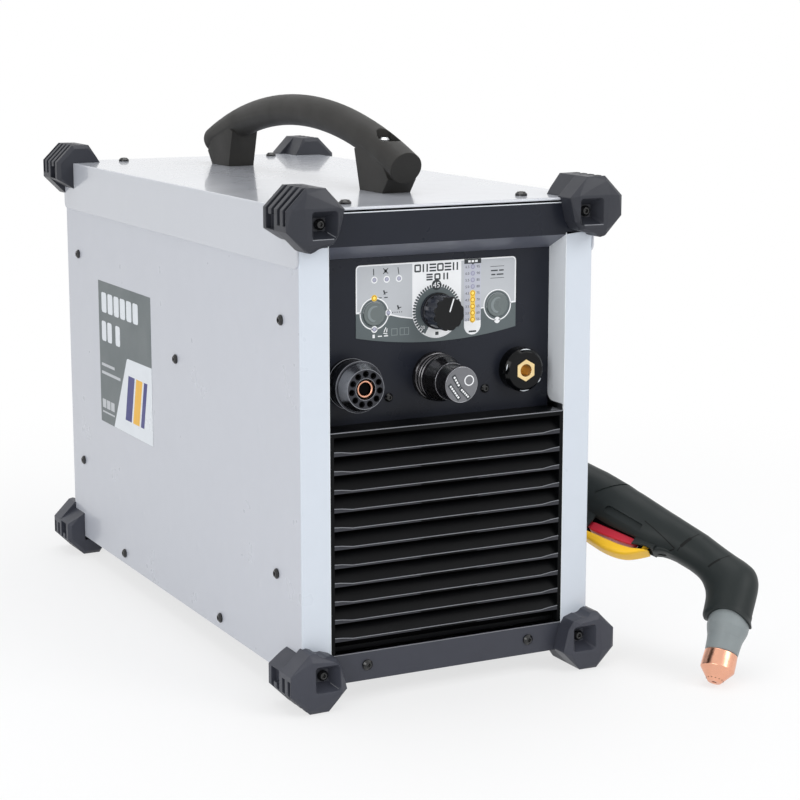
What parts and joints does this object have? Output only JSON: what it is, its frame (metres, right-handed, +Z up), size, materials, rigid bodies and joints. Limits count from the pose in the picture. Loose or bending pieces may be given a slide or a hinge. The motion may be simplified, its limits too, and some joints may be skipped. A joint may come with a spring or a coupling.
{
  "type": "plasma cutter unit",
  "caption": "Portable inverter plasma cutter: steel casing with corner bumpers, arched carry handle, louvred front, control panel, connectors and a separate hand torch.",
  "frame": {"origin": "on the floor, under the middle of the whole object's bounding box, torch included", "axes": "+Z up; the control panel faces -Y; +X is to the right seen from the front"},
  "size_m": [0.4056, 0.698, 0.4726],
  "materials": {
    "casing_grey": "gloss paint",
    "lid_grey": "gloss paint",
    "zinc_steel": "zinc plated",
    "bar_grey": "satin paint",
    "band_black": "gloss paint",
    "label_print": "printed film",
    "louvre_black": "satin paint",
    "handle_black": "fine grain",
    "steel": "plated",
    "screw_black": "black oxide",
    "knob_black": "moulded",
    "button_grey": "moulded",
    "lens_amber": "clear lens",
    "board_green": "solder mask",
    "copper": "copper",
    "brass": "turned",
    "regulator_grey": "metallic",
    "bare_aluminium": "as extruded",
    "core_iron": "varnished",
    "sleeve_blue": "shrink sleeve",
    "grille_black": "powder coat",
    "trigger_red": "moulded",
    "torch_black": "fine grain",
    "cup_grey": "moulded",
    "guard_yellow": "moulded",
    "bumper_black": "fine grain"
  },
  "bodies": {
    "casing": {"base_pan": "zinc_steel", "front_bar": "bar_grey", "side_left": "casing_grey", "side_right": "casing_grey", "lid": "lid_grey", "front_band": "band_black", "control_panel": "band_black", "control_label": "label_print", "louvre_block": "louvre_black", "rear_panel": "band_black", "bumper_front_left_top": "bumper_black", "bumper_front_right_top": "bumper_black", "bumper_front_left_bottom": "bumper_black", "bumper_front_right_bottom": "bumper_black", "bumper_rear_left_top": "bumper_black", "bumper_rear_right_top": "bumper_black", "bumper_rear_left_bottom": "bumper_black", "bumper_rear_right_bottom": "bumper_black", "carry_handle": "handle_black", "handle_screws": "steel", "side_screws": "screw_black", "lid_screws": "screw_black", "bumper_screws": "screw_black", "front_screws": "screw_black", "rear_screws": "screw_black", "potentiometer": "steel", "led_lenses": "lens_amber", "display_board": "board_green", "torch_connector": "knob_black", "connector_contact": "copper", "work_socket": "knob_black", "work_socket_insert": "brass", "regulator_ring": "regulator_grey", "inner_shelf": "zinc_steel", "heatsink": "bare_aluminium", "power_board": "board_green", "transformer": "core_iron", "inductor": "copper", "capacitors": "sleeve_blue", "air_valve": "bare_aluminium", "fan_frame": "knob_black", "rear_grille": "grille_black", "power_switch_body": "knob_black", "mains_gland": "knob_black", "air_inlet": "brass"},
    "current_knob": {"current_knob": "knob_black"},
    "mode_button": {"mode_button": "button_grey"},
    "set_button": {"set_button": "button_grey"},
    "regulator_stem": {"regulator_stem": "steel"},
    "regulator_knob": {"regulator_knob": "regulator_grey"},
    "fan_rotor": {"fan_rotor": "knob_black"},
    "power_switch_knob": {"power_switch_knob": "trigger_red"},
    "torch_body": {"torch_shell_left": "torch_black", "torch_shell_right": "torch_black", "torch_head": "torch_black", "torch_electrode": "copper"},
    "torch_trigger": {"torch_trigger": "trigger_red"},
    "trigger_guard": {"trigger_guard": "guard_yellow"},
    "retaining_cup": {"retaining_cup": "cup_grey", "shield_cap": "copper"}
  },
  "joints": [
    {"name": "current_knob_turn", "type": "hinge", "parent": "casing", "child": "current_knob", "pos_m": [-0.0516, -0.2165, 0.3089], "axis": [0, 1, 0], "range_deg": [-153, 117]},
    {"name": "mode_button_press", "type": "slide", "parent": "casing", "child": "mode_button", "axis": [0, 1, 0], "range_m": [0, 0.0008], "stiffness_N_per_m": 800, "springref_m": -0.001},
    {"name": "set_button_press", "type": "slide", "parent": "casing", "child": "set_button", "axis": [0, 1, 0], "range_m": [0, 0.0008], "stiffness_N_per_m": 800, "springref_m": -0.001},
    {"name": "regulator_pull", "type": "slide", "parent": "casing", "child": "regulator_stem", "axis": [0, -1, 0], "range_m": [0, 0.004]},
    {"name": "regulator_turn", "type": "hinge", "parent": "regulator_stem", "child": "regulator_knob", "pos_m": [-0.0537, -0.2265, 0.2555], "axis": [0, 1, 0], "range_deg": [-540, 540]},
    {"name": "fan_spin", "type": "hinge", "parent": "casing", "child": "fan_rotor", "pos_m": [-0.0527, 0.3035, 0.128], "axis": [0, 1, 0], "continuous": true},
    {"name": "power_switch_turn", "type": "hinge", "parent": "casing", "child": "power_switch_knob", "pos_m": [-0.1247, 0.335, 0.318], "axis": [0, -1, 0], "range_deg": [0, 90]},
    {"name": "torch_lift", "type": "slide", "parent": "casing", "child": "torch_body", "axis": [0, 0, 1], "range_m": [0, 0.25]},
    {"name": "trigger_pull", "type": "hinge", "parent": "torch_body", "child": "torch_trigger", "pos_m": [0.13339, -0.22436, 0.10486], "axis": [0.5852, 0.5565, -0.5898], "range_deg": [0, 6], "stiffness_Nm_per_rad": 0.1, "springref_deg": -17.19},
    {"name": "guard_swing", "type": "hinge", "parent": "torch_body", "child": "trigger_guard", "pos_m": [0.13991, -0.23891, 0.09759], "axis": [-0.5852, -0.5565, 0.5898], "range_deg": [0, 10], "stiffness_Nm_per_rad": 0.08, "springref_deg": -28.65},
    {"name": "cup_turn", "type": "hinge", "parent": "torch_body", "child": "retaining_cup", "pos_m": [0.16318, -0.32383, 0.04055], "axis": [-0.493, -0.3333, -0.8037], "range_deg": [0, 720]}
  ]
}
